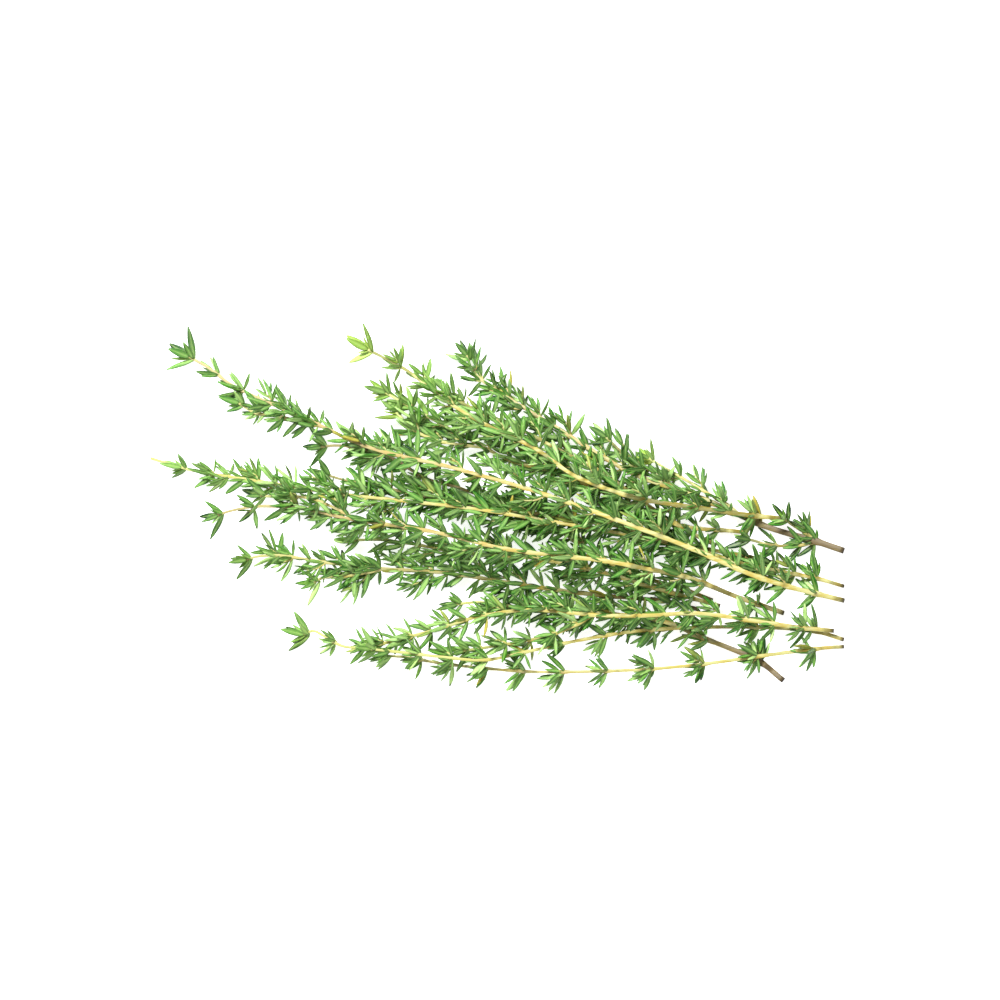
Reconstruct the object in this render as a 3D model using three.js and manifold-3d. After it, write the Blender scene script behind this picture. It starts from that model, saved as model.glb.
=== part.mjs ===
// A loose bundle of fifteen cut thyme sprigs, lying on a table with the tips fanned out to the left.
// Millimetres, +Z up. The origin is the middle of the bundle's footprint, on the table. +X points to
// the cut ends and +Y to the far side, where the tallest spray of tips lies.
import * as THREE from "three";
import { mergeVertices } from "three/addons/utils/BufferGeometryUtils.js";
import Module from "manifold-3d";

const wasm = await Module();
wasm.setup();

// The blades. Thyme's are small, narrow and a little arched, with a raised middle.
const LEAF_LENGTH = 7.8;
const LEAF_WIDTH = 2.4; // of a blade of that length
const LEAF_THICKNESS = 0.7;
const LEAF_ARCH = 0.12; // how far the tip curves in towards the growing end, as a share of the length
const LEAF_SIDES = 3; // a flat upper face and a ridge along the back
const LEAF_PROFILE = [
  [0, 0],
  [1, 0.38],
  [0.8, 0.7],
  [0, 1],
]; // half widths against how far along the blade, both as shares
const LEAF_BALLS = [
  [0.42, 0.95],
  [0.7, 0.8],
  [0.95, 0.4],
]; // the room a blade takes: three balls, each with its share of the length and its radius

// Where the blades grow: in pairs, each pair turned a quarter round the stem from the last. On
// some sprigs a smaller pair stands close above each large one, which makes a tuft of four.
const FIRST_PAIR = 8; // from the cut end
const GAP_LOW = 17; // between pairs low on the stem
const GAP_HIGH = 7.5; // between pairs near the tip
const TIP_ROOM = 4; // no pair closer to the tip than this
const TWIG_FIRST_PAIR = 5;
const TWIG_GAP = 7;
const TUFT_SIZE = 0.8; // of the smaller pair against the large one
const TUFT_STEP = 1.4; // from a large pair to its small one
const TIP_PAIRS = [
  { back: 1.8, turn: 10, lean: 44, size: 1 },
  { back: 0.5, turn: 100, lean: 22, size: 0.9 },
]; // the last two pairs, closed round the growing end; back is the distance from that end
const PRESSED = 0.7; // how much the pile flattens the blades

// Angles in degrees
const LEAN_LOW = 62; // between blade and stem, low down
const LEAN_HIGH = 42; // and near the tip
const FIRST_TURN = 45; // round the stem
const PAIR_TURN = 90;
const OPPOSITE = [0, 180]; // the two blades of a pair

// How much one blade differs from the next: the whole spread of each angle, and the shares between
// which its length is drawn
const TURN_SPREAD = 40;
const LEAN_SPREAD = 20;
const ROLL_SPREAD = 70;
const SIZE_SPREAD = [0.8, 1.12];
const SIZE_AT_TIP = 0.85; // of the pairs near the tip against the lowest
const TIP_TURN_SPREAD = 30;
const TIP_SIZE_SPREAD = [0.85, 1.1];

// The stems are square, as in all of the mint family. A radius is taken across the corners.
const TIP_RADIUS = 0.4;
const TWIG_RADIUS = 0.45;
const STEM_SIDES = 4;
const STEM_CORNER = Math.PI / 4; // one flat side faces down
const STEM_STEP = 9; // length of one straight facet
const FEWEST_FACETS = 3;

// How a blade is bent clear of the other sprigs: extra turn and extra lean, tried in this order
const BENDS = [
  [0, 0], [30, 0], [-30, 0], [0, -22], [60, 0], [-60, 0],
  [30, -22], [-30, -22], [90, -10], [-90, -10], [120, 0], [-120, 0],
];
const SPRIG_ROOM = 0.35; // kept clear between one sprig and another
const TABLE_ROOM = 0.05; // lowest place for the tip of a blade
const PROBE_STEP = 1.2; // between the balls that stand for a stem
const SLIVER = 0.03; // smallest detail kept where blades and stem are joined

// How a stem and a twig are clothed, where the sprig's own entry doesn't say otherwise
const STEM_HABIT = {
  first: FIRST_PAIR,
  gapLow: GAP_LOW,
  gapHigh: GAP_HIGH,
  tufted: 0, // the share of the stem, from the cut end, whose pairs are tufts
  tipSize: 1,
  bareEnd: 0, // how much of the tip end is bare
};
const TWIG_HABIT = { ...STEM_HABIT, first: TWIG_FIRST_PAIR, gapLow: TWIG_GAP, gapHigh: TWIG_GAP };

const UP = new THREE.Vector3(0, 0, 1);
const LEAF_GREEN = 0x4f8f3a;
const YOUNG_GREEN = 0x7fa845;
const LEAF_ROUGHNESS = 0.55;

// The sprigs, each from its cut end to its tip, as places [x, y, height] above the table.
// butt is the stem's radius at the cut end. A twig forks off at a share of the stem's length.
const SPRIGS = [
  {
    // across the top of the pile, to the far left corner
    butt: 0.8,
    tufted: 0.6,
    tipSize: 1.3,
    route: [
      [97, -26, 0.5], [81, -22, 4], [69, -18, 7.5], [53, -11, 11], [32, -3, 14], [9, 5, 14],
      [-14, 11.5, 12], [-35, 16.5, 10], [-53, 24.5, 7.5], [-73, 33.5, 5], [-81, 39, 4.2], [-87, 42.5, 4],
    ],
    twigs: [{ fork: 0.78, route: [[-63, 26, 6], [-68, 26.5, 5], [-73, 29.5, 4.3]] }],
  },
  {
    // the longest, whose bare end reaches furthest left
    butt: 0.62,
    tufted: 0.6,
    bareEnd: 9,
    route: [
      [97, -22, 0.4], [88, -19.5, 2], [70, -16, 4], [56, -12, 6], [39, -8, 8.5], [13, -3.5, 10.5],
      [-5, -0.5, 10.5], [-22, 1.5, 9], [-45, 4, 6.5], [-61, 6.5, 5], [-77, 9, 3.5], [-86, 10.5, 1.8], [-98, 14, 0.24],
    ],
    twigs: [],
  },
  {
    // straight through the middle, on top
    butt: 0.8,
    route: [
      [80, -29.5, 0.5], [67, -25, 4], [53, -19.5, 8], [39, -16.5, 12], [28, -14.5, 14], [14, -13, 14.5],
      [0, -11, 14], [-19, -6.5, 12], [-42, -3, 8.5], [-53, -0.5, 6.5], [-66, 0.5, 4.5], [-74, -0.5, 3.5],
      [-79, -2, 3],
    ],
    twigs: [{ fork: 0.75, route: [[-52, 2.5, 7], [-61, 3, 5.5], [-67, 3.5, 4.5]] }],
  },
  {
    // under the middle, with a tip of its own on the left
    butt: 0.68,
    route: [
      [56, -28.5, 0.42], [45, -26, 2], [28, -24.5, 3], [9, -22, 3], [-3, -20, 3], [-17, -18, 3.5],
      [-33, -17, 3.5], [-47, -15.5, 3], [-60, -13.5, 3], [-67, -13.5, 3], [-71, -14.5, 2.8],
    ],
    twigs: [{ fork: 0.69, route: [[-42, -19, 3.2], [-49, -19.5, 3], [-52, -21, 2.8]] }],
  },
  {
    // near side, over its neighbours, tip curling back on the table
    butt: 0.7,
    tufted: 0.5,
    tipSize: 1.2,
    route: [
      [94, -34.5, 2.4], [84, -33.5, 3.6], [74, -32, 5.5], [56, -29.5, 8], [42, -30, 9], [28, -30, 9],
      [9, -28.5, 8], [-6, -30.5, 6.5], [-19, -34.5, 5], [-35, -38.5, 3.5], [-43, -39, 3], [-49, -36, 3],
      [-52, -34.5, 2.8], [-55, -35.5, 2.6],
    ],
    twigs: [{ fork: 0.45, route: [[21, -33, 8], [13, -36, 6.5], [0, -38.5, 5.5], [-10, -40, 5]] }],
  },
  {
    // near side, yellow stem rising over the lowest sprig's tip
    butt: 0.68,
    tufted: 0.5,
    route: [
      [97, -37, 0.42], [88, -34.5, 0.6], [74, -33.5, 1.8], [56, -33.5, 3.2], [39, -34.5, 3.8], [23, -37, 4.5],
      [9, -40, 5.5], [-4, -42.5, 7.5], [-17, -41.5, 8], [-26, -40.5, 7], [-36, -39.5, 6.5],
    ],
    twigs: [],
  },
  {
    // the long bare one along the near edge
    butt: 0.6,
    tufted: 0.9,
    route: [
      [97, -39, 0.38], [90, -39.5, 1], [74, -41.5, 2.8], [56, -44, 2.5], [38, -45.5, 2.5], [21, -46, 2.5],
      [9, -46, 2.8], [-4, -45, 3], [-17, -43.5, 3], [-25, -42, 3], [-32, -41.5, 3],
    ],
    twigs: [],
  },
  {
    // woody, its cut end sticking out to the near right
    butt: 0.9,
    route: [
      [80, -48.5, 0.58], [72, -42.5, 0.65], [56, -36, 1.1], [53, -34.5, 1.2], [45, -31.5, 2], [34, -30, 3],
      [17, -29, 3.5], [6, -28, 3.5], [-5, -26.5, 3.5], [-12, -27, 3],
    ],
    twigs: [],
  },
  {
    // far side, on top, with the yellow-green tip
    butt: 0.78,
    tufted: 0.4,
    tipSize: 1.1,
    color: YOUNG_GREEN,
    route: [
      [80, -3, 2.6], [70, -2, 4], [56, 0, 7], [42, 2, 10], [34, 4, 12], [21, 9, 13], [11, 16, 12],
      [0, 21.5, 10.5], [-7, 25, 9], [-17, 31.5, 7], [-25, 38, 5], [-32, 42, 4], [-37, 44.5, 4],
    ],
    twigs: [{ fork: 0.1, route: [[64, 1, 5], [57, 5, 4.5], [53, 7.5, 4], [47, 11, 3.5], [42, 14, 3]] }],
  },
  {
    // far edge, the thickest and brownest, forked close to its cut end
    butt: 1.02,
    tufted: 0.5,
    tipSize: 1.1,
    route: [
      [97, -12, 0.65], [88, -9, 0.68], [79, -6.5, 0.8], [72, -4, 1.2], [62, 0.5, 2], [51, 5, 3], [39, 9, 3.5],
      [28, 15, 3.8], [17, 22, 3.8], [0, 32.5, 3.5], [-7, 38, 3.2], [-9, 43, 3],
    ],
    twigs: [
      { fork: 0.05, route: [[86, -7, 1.6], [82, -4.5, 2.2], [80, -3, 5]] },
      { fork: 0.06, route: [[84, -10.5, 1.4], [77, -10.5, 1.8], [69, -8.5, 2.8]] },
      { fork: 0.4, route: [[37, 14, 3.5], [33, 17, 3.3], [30, 20, 3.2]] },
    ],
  },
  {
    // far side, low, thin, with one large blade at its tip
    butt: 0.65,
    tipSize: 1.1,
    route: [
      [70, -7, 0.42], [66, -6.5, 0.8], [51, -5, 2], [39, 0, 3], [28, 5, 3.5], [16, 10, 3.5], [4, 13, 3.5],
      [-5, 17.5, 3.5], [-17, 24, 3.8], [-26, 29, 3.8], [-32, 32.5, 3.6],
    ],
    twigs: [{ fork: 0.71, route: [[-13, 18, 4], [-19, 19.5, 4.2], [-24, 22, 4.2], [-29, 27, 4]] }],
  },
  {
    // far side, middle height, its cut end hidden in the pile
    butt: 0.66,
    route: [
      [61, -10.5, 3.2], [53, -6.5, 4.4], [42, 0.5, 6], [28, 10.5, 7.5], [20, 14.5, 8], [6, 22, 7.5],
      [-5, 27, 7], [-10.5, 29.5, 6], [-14, 32.5, 6],
    ],
    twigs: [],
  },
  {
    // low in the middle, purplish, tip out between the two long ones
    butt: 0.7,
    route: [
      [60, -26, 0.45], [51, -22.5, 1.5], [39, -19, 2.5], [28, -13.5, 3], [17, -6.5, 3.3], [0, 1.5, 3],
      [-11, 5.5, 3.3], [-21, 8.5, 4], [-29, 13.5, 4], [-38, 16.5, 3.8], [-45, 17.5, 3.5], [-50, 17.2, 3.2],
    ],
    twigs: [],
  },
  {
    // low in the middle, beside the longest
    butt: 0.65,
    route: [
      [78, -15.5, 1.2], [69, -13.5, 1.5], [53, -10.5, 2], [42, -7.5, 3], [28, -4, 5.5], [13, -2, 6.8],
      [2, -0.5, 6.8], [-8, 1, 6.5], [-19, 3, 6], [-29, 5, 5], [-42, 7.5, 4], [-49, 9.5, 3.5],
    ],
    twigs: [],
  },
  {
    // middle height, short, under the one on top
    butt: 0.66,
    route: [
      [62, -27.5, 2.6], [53, -25, 3.8], [42, -22, 5.5], [31, -18.5, 7], [20, -16, 7.5], [9, -14, 7],
      [0, -13.5, 6], [-11, -12.5, 5], [-22, -10.5, 4], [-32, -9, 3.5], [-41, -9, 3.3],
    ],
    twigs: [],
  },
];

// Draws from 0 to 1 that come out the same on every run.
const DRAW_PRIME = 2147483647;
const DRAW_FACTOR = 48271;
const SEED_STEP = 7883;
function seededDraws(seed) {
  let state = seed * SEED_STEP;
  return () => {
    state = (state * DRAW_FACTOR) % DRAW_PRIME;
    return state / DRAW_PRIME;
  };
}

const between = (low, high, share) => low + (high - low) * share;
const spread = (whole, drawn) => whole * (drawn - 0.5);
const radians = (angle) => (angle * Math.PI) / 180;

// A stem's middle line, made of short straight facets, with its radius at each share of its length.
function axisOf(route, butt, tip) {
  const points = route.map((p) => new THREE.Vector3(...p));
  const curve = new THREE.CatmullRomCurve3(points, false, "catmullrom");
  const facets = Math.max(FEWEST_FACETS, Math.round(curve.getLength() / STEM_STEP));
  const corners = curve.getSpacedPoints(facets);
  const line = new THREE.CurvePath();
  for (let i = 0; i < facets; i++) line.add(new THREE.LineCurve3(corners[i], corners[i + 1]));
  const radiusAt = (share) => between(butt, tip, share);
  return { line, facets, length: line.getLength(), radiusAt };
}

// Directions at a share of a stem's length: along it, level to its side, and square to both.
function frameAt(axis, share) {
  const along = axis.line.getTangent(share);
  const side = along.clone().cross(UP).normalize();
  return { at: axis.line.getPoint(share), along, side, over: side.clone().cross(along) };
}

// A twig starts on the middle line of the stem it forks from.
function twigAxis(stem, twig) {
  const fork = stem.line.getPoint(twig.fork).toArray();
  return axisOf([fork, ...twig.route], TWIG_RADIUS, TIP_RADIUS);
}

// How far along a stem each pair of blades grows, with its size: the gaps shorten towards the tip.
function pairPlaces(length, { first, gapLow, gapHigh, tufted, bareEnd }) {
  const places = [];
  const last = length - bareEnd - TIP_ROOM;
  for (let s = first; s < last; s += between(gapLow, gapHigh, s / length)) {
    places.push([s, 1]);
    if (s < tufted * length) places.push([s + TUFT_STEP, TUFT_SIZE]);
  }
  return places;
}

// The blades that an axis should carry, each with the frame that it is rooted in, its turn round the
// stem, its lean from it, its length and its roll, before it is tried for room.
function sideBlades(axis, draw, habit) {
  const blades = [];
  pairPlaces(axis.length, habit).forEach(([place, size], quarter) => {
    const share = place / axis.length;
    const frame = frameAt(axis, share);
    const pairTurn = FIRST_TURN + PAIR_TURN * quarter + spread(TURN_SPREAD, draw());
    for (const half of OPPOSITE) {
      const lean = between(LEAN_LOW, LEAN_HIGH, share) + spread(LEAN_SPREAD, draw());
      const drawn = size * between(...SIZE_SPREAD, draw());
      const length = LEAF_LENGTH * drawn * between(1, SIZE_AT_TIP, share);
      const roll = spread(ROLL_SPREAD, draw());
      blades.push({ frame, turn: pairTurn + half, lean, length, roll });
    }
  });
  return blades;
}

// The blades closed round the growing end.
function tipBlades(axis, draw, { tipSize, bareEnd }) {
  const blades = [];
  for (const { back, turn, lean, size } of TIP_PAIRS) {
    const frame = frameAt(axis, 1 - (back + bareEnd) / axis.length);
    for (const half of OPPOSITE) {
      const length = LEAF_LENGTH * tipSize * size * between(...TIP_SIZE_SPREAD, draw());
      const drawnTurn = turn + half + spread(TIP_TURN_SPREAD, draw());
      blades.push({ frame, turn: drawnTurn, lean, length, roll: 0 });
    }
  }
  return blades;
}

// A blade's own directions, once it is bent by an extra turn and lean.
function posed({ frame, turn, lean, length, roll }, [extraTurn, extraLean]) {
  const round = radians(turn + extraTurn);
  const out = frame.side
    .clone()
    .multiplyScalar(Math.cos(round))
    .addScaledVector(frame.over, PRESSED * Math.sin(round))
    .normalize();
  const tilt = radians(lean + extraLean);
  const way = frame.along.clone().multiplyScalar(Math.cos(tilt)).addScaledVector(out, Math.sin(tilt));
  way.z = Math.max(way.z, (TABLE_ROOM - frame.at.z) / length);
  way.normalize();
  const across = frame.along.clone().cross(out).applyAxisAngle(way, radians(roll));
  across.addScaledVector(way, -across.dot(way)).normalize();
  return { root: frame.at, way, across, face: across.clone().cross(way), length };
}

// A point on a blade's arched middle line, at a share of its length.
function onBlade({ root, way, face, length }, along) {
  return root
    .clone()
    .addScaledVector(way, along * length)
    .addScaledVector(face, -LEAF_ARCH * length * along * along);
}

// Everything placed so far, as balls, so that a new blade can be bent clear of the other sprigs.
const taken = [];

function isClear(ball, other) {
  const room = ball.radius + other.radius + SPRIG_ROOM;
  return other.owner === ball.owner || ball.at.distanceTo(other.at) > room;
}

// Tries the blade as drawn, then bent, and returns nothing where there is no room for it.
function placed(wish, owner) {
  for (const bend of BENDS) {
    const blade = posed(wish, bend);
    const balls = LEAF_BALLS.map(([along, radius]) => ({ at: onBlade(blade, along), radius, owner }));
    if (balls.every((ball) => taken.every((other) => isClear(ball, other)))) {
      taken.push(...balls);
      return blade;
    }
  }
  return null;
}

// A closed geometry as a solid that can be joined and cut.
function solidOf(geometry) {
  const bare = geometry.clone();
  bare.deleteAttribute("normal");
  bare.deleteAttribute("uv");
  const merged = mergeVertices(bare, 1e-4);
  return new wasm.Manifold(
    new wasm.Mesh({
      numProp: 3,
      vertProperties: merged.attributes.position.array,
      triVerts: new Uint32Array(merged.index.array),
    }),
  );
}

function geometryOf(solid) {
  const mesh = solid.getMesh();
  const geometry = new THREE.BufferGeometry();
  geometry.setAttribute("position", new THREE.BufferAttribute(mesh.vertProperties, 3));
  geometry.setIndex(new THREE.BufferAttribute(mesh.triVerts, 1));
  geometry.computeVertexNormals();
  return geometry;
}

// Cuts a sprig level with the table and drops any blade tip that the cut leaves loose.
// The slivers where surfaces cross are smoothed away.
function cutLevel(solid) {
  const pieces = solid.trimByPlane([0, 0, 1], 0).decompose();
  const whole = pieces.reduce((most, piece) => (piece.volume() > most.volume() ? piece : most));
  return whole.simplify(SLIVER);
}

// A straight cylinder bent along the stem's middle line and tapered on the way.
function stemSolid(axis) {
  const tube = new THREE.CylinderGeometry(1, 1, 1, STEM_SIDES, axis.facets, false, STEM_CORNER);
  const place = tube.attributes.position;
  for (let i = 0; i < place.count; i++) {
    const share = THREE.MathUtils.clamp(place.getY(i) + 0.5, 0, 1);
    const { at, side, over } = frameAt(axis, share);
    const radius = axis.radiusAt(share);
    at.addScaledVector(side, place.getX(i) * radius).addScaledVector(over, place.getZ(i) * radius);
    place.setXYZ(i, at.x, at.y, at.z);
  }
  return solidOf(tube);
}

const LEAF_FORM = new THREE.LatheGeometry(
  LEAF_PROFILE.map(([half, along]) => new THREE.Vector2(half, along)),
  LEAF_SIDES,
);
LEAF_FORM.computeBoundingBox();
const FORM_SIZE = LEAF_FORM.boundingBox.getSize(new THREE.Vector3());

// One blade: the spindle flattened, arched and laid along its own directions.
function bladeSolid(blade) {
  const geometry = LEAF_FORM.clone();
  const place = geometry.attributes.position;
  const width = (LEAF_WIDTH * blade.length) / LEAF_LENGTH;
  for (let i = 0; i < place.count; i++) {
    const at = onBlade(blade, place.getY(i))
      .addScaledVector(blade.across, (place.getX(i) / FORM_SIZE.x) * width)
      .addScaledVector(blade.face, (place.getZ(i) / FORM_SIZE.z) * LEAF_THICKNESS);
    place.setXYZ(i, at.x, at.y, at.z);
  }
  return solidOf(geometry);
}

// The middle lines of all the sprigs come first, because every blade has to keep clear of them.
const grown = SPRIGS.map((sprig, owner) => {
  const stem = axisOf(sprig.route, sprig.butt, TIP_RADIUS);
  const axes = [stem, ...sprig.twigs.map((twig) => twigAxis(stem, twig))];
  for (const axis of axes) {
    const probes = Math.ceil(axis.length / PROBE_STEP);
    for (let i = 0; i <= probes; i++) {
      const share = i / probes;
      taken.push({ at: axis.line.getPoint(share), radius: axis.radiusAt(share), owner });
    }
  }
  return { sprig, axes };
});

// One sprig: its stem, its twigs and its blades, joined into one solid with a flat on the table.
function sprigMesh({ sprig, axes }, owner) {
  const draw = seededDraws(owner + 1);
  const solids = [];
  axes.forEach((axis, i) => {
    const habit = i === 0 ? { ...STEM_HABIT, ...sprig } : TWIG_HABIT;
    solids.push(stemSolid(axis));
    for (const wish of [...sideBlades(axis, draw, habit), ...tipBlades(axis, draw, habit)]) {
      const blade = placed(wish, owner);
      if (blade) solids.push(bladeSolid(blade));
    }
  });
  const material = new THREE.MeshStandardMaterial({
    color: sprig.color ?? LEAF_GREEN,
    roughness: LEAF_ROUGHNESS,
    metalness: 0,
  });
  const mesh = new THREE.Mesh(geometryOf(cutLevel(wasm.Manifold.union(solids))), material);
  mesh.name = "sprig_" + String(owner + 1).padStart(2, "0");
  return mesh;
}

const bundle = new THREE.Group();
grown.forEach((one, owner) => bundle.add(sprigMesh(one, owner)));

export default bundle;
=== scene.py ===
# %% [markdown]
# # A loose bundle of thyme
# Fifteen cut sprigs lie in a fan, thin square stems to the right and leafy tips to the left. Each
# sprig is dressed with two pieces: its stem with its twigs, and all of its leaves. The packed
# frame comes first, because every piece is placed by it.

# %% The frame
from contextlib import contextmanager
from math import cos, exp, radians, sin
from random import Random

import bmesh
import bpy
import numpy as np
from mathutils import Matrix, Vector


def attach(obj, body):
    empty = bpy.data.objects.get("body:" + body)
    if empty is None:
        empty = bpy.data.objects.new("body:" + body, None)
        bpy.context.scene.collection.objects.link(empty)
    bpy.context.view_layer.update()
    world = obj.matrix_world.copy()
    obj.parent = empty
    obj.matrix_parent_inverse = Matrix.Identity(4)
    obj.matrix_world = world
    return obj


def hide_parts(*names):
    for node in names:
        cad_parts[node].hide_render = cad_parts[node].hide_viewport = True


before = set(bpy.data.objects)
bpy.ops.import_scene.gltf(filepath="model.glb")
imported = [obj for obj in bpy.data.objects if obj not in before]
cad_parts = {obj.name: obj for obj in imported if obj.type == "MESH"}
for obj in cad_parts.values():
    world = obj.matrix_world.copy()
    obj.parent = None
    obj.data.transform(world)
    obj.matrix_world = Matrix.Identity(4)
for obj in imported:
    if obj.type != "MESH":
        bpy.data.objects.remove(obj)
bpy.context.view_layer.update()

MM = 0.001  # the sprigs are worked out in millimetres and scaled once, at the end
print("solid sprigs:", len(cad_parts))

# %% [markdown]
# ## The camera
# The bundle is seen from straight above. A camera in Blender looks down its own -Z axis, so one
# that isn't turned at all already looks down. A long lens from far away keeps the sprigs' shapes
# free of perspective, and the distance follows from the width that the frame should take in.

# %% Camera
FRAME_WIDTH = 0.28
FRAME_CENTRE = (0.00028, 0.00224)
AIM_HEIGHT = 0.006
LENS = 150
SENSOR = 36


def add_camera():
    data = bpy.data.cameras.new("above")
    data.lens = LENS
    data.sensor_width = SENSOR
    camera = bpy.data.objects.new("above", data)
    distance = FRAME_WIDTH * LENS / SENSOR
    camera.location = (*FRAME_CENTRE, AIM_HEIGHT + distance)
    bpy.context.collection.objects.link(camera)
    bpy.context.scene.camera = camera
    print(f"camera {distance:.3f} m above the bundle")


add_camera()

# %% [markdown]
# ## The studio
# The herbs lie on a clean white table in soft light, so shadows are short and pale. That could be
# one big lamp, but a bright white world gives softer shade between the leaves. A lamp from the far
# left then gives the gloss its direction, and a weak one opposite lifts the shade. The table is a
# stage, not part of the bundle. The Standard view keeps white white.

# %% Table and lamps
TABLE_SIZE = 3.0
TABLE_DROP = 0.00005
TABLE_FINISH = {
    "Base Color": (0.93, 0.93, 0.93, 1),
    "Roughness": 0.7,
    "Specular IOR Level": 0.2,
    "Emission Color": (1, 1, 1, 1),
    "Emission Strength": 0.74,  # a glow keeps the white even
}
WORLD_LIGHT = 0.41
LAMPS = {
    # name: place, size, power
    "key": ((-0.5, 0.6, 0.9), 0.4, 29.0),
    "fill": ((0.7, -0.5, 0.7), 0.8, 4.0),
}


def finished(shader, finish):
    """Sets what is the same all over a surface on the shader's own sockets."""
    for socket, value in finish.items():
        shader.inputs[socket].default_value = value


def add_table():
    bpy.ops.mesh.primitive_plane_add(size=TABLE_SIZE, location=(0, 0, -TABLE_DROP))
    table = bpy.context.object
    table.name = "table"
    material = bpy.data.materials.new("table_white")
    material.use_nodes = True
    finished(material.node_tree.nodes["Principled BSDF"], TABLE_FINISH)
    table.data.materials.append(material)


def add_lamps():
    for name, (place, size, power) in LAMPS.items():
        data = bpy.data.lights.new(name, "AREA")
        data.size = size
        data.energy = power
        lamp = bpy.data.objects.new(name, data)
        lamp.location = place
        lamp.rotation_euler = (-Vector(place)).to_track_quat("-Z", "Y").to_euler()
        bpy.context.collection.objects.link(lamp)


def light_the_world():
    world = bpy.data.worlds.new("white_room")
    world.use_nodes = True
    background = world.node_tree.nodes["Background"]
    background.inputs["Color"].default_value = (1, 1, 1, 1)
    background.inputs["Strength"].default_value = WORLD_LIGHT
    bpy.context.scene.world = world
    bpy.context.scene.view_settings.view_transform = "Standard"


add_table()
add_lamps()
light_the_world()
print("lamps:", ", ".join(LAMPS))

# %% [markdown]
# ## Where the stems run
# Every stem is a smooth curve through a few places above the table, given as x, y and height in
# millimetres from the cut end to the tip. They are the same places that the solid sprigs were
# built from. Beside the route stands what makes each sprig its own: how thick it is, how far up
# it carries full tufts, how brown its old wood and how pink its young bark is.

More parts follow.
